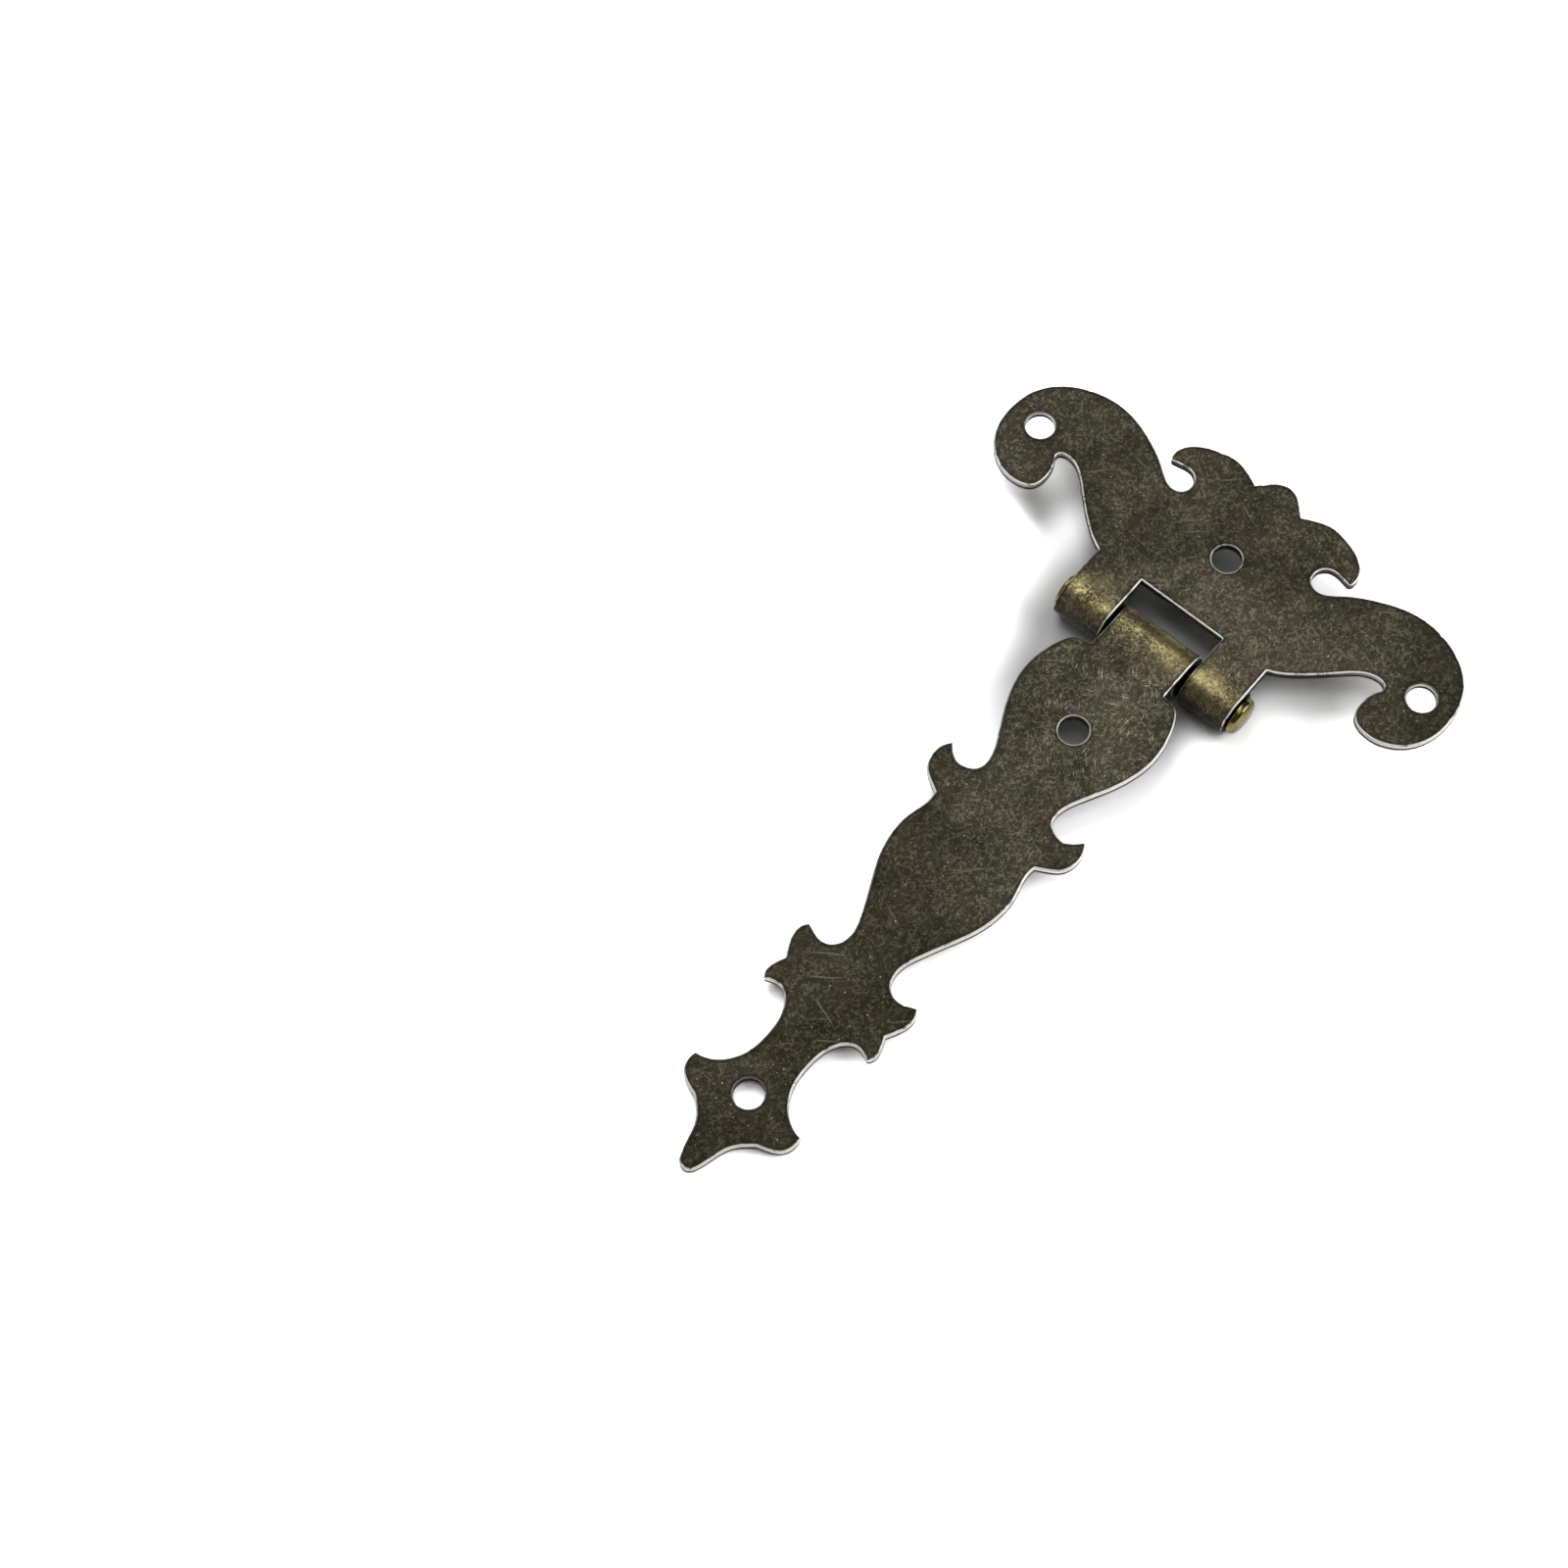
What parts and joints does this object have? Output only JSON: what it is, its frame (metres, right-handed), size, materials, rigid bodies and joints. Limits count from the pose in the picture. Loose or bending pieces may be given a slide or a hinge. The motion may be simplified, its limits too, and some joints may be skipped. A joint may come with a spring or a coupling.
{
  "type": "box hinge",
  "caption": "Stamped box hinge with a scrolled cross leaf, a long ornamental strap leaf and a headed pin that lets the strap fold up or down.",
  "frame": {"origin": "centre of the cross leaf's middle screw hole, on the mounting side", "axes": "+X along the pin towards its domed head, +Y towards the crest of the cross leaf, +Z out of the finished side; the strap leaf runs towards -Y"},
  "size_m": [0.057, 0.0958, 0.0051],
  "materials": {
    "bronzed_sheet": "antique bronze plating, rubbed and scratched, bright at the sheared edges",
    "bronzed_pin": "rubbed antique bronze plating"
  },
  "bodies": {
    "cross_leaf_and_pin": {"cross_leaf": "bronzed_sheet", "hinge_pin": "bronzed_pin"},
    "strap": {"strap_leaf": "bronzed_sheet"}
  },
  "joints": [
    {"name": "strap_swing", "type": "hinge", "parent": "cross_leaf_and_pin", "child": "strap", "pos_m": [0, -0.01225, -0.00155], "axis": [1, 0, 0], "range_deg": [-110, 180]}
  ]
}
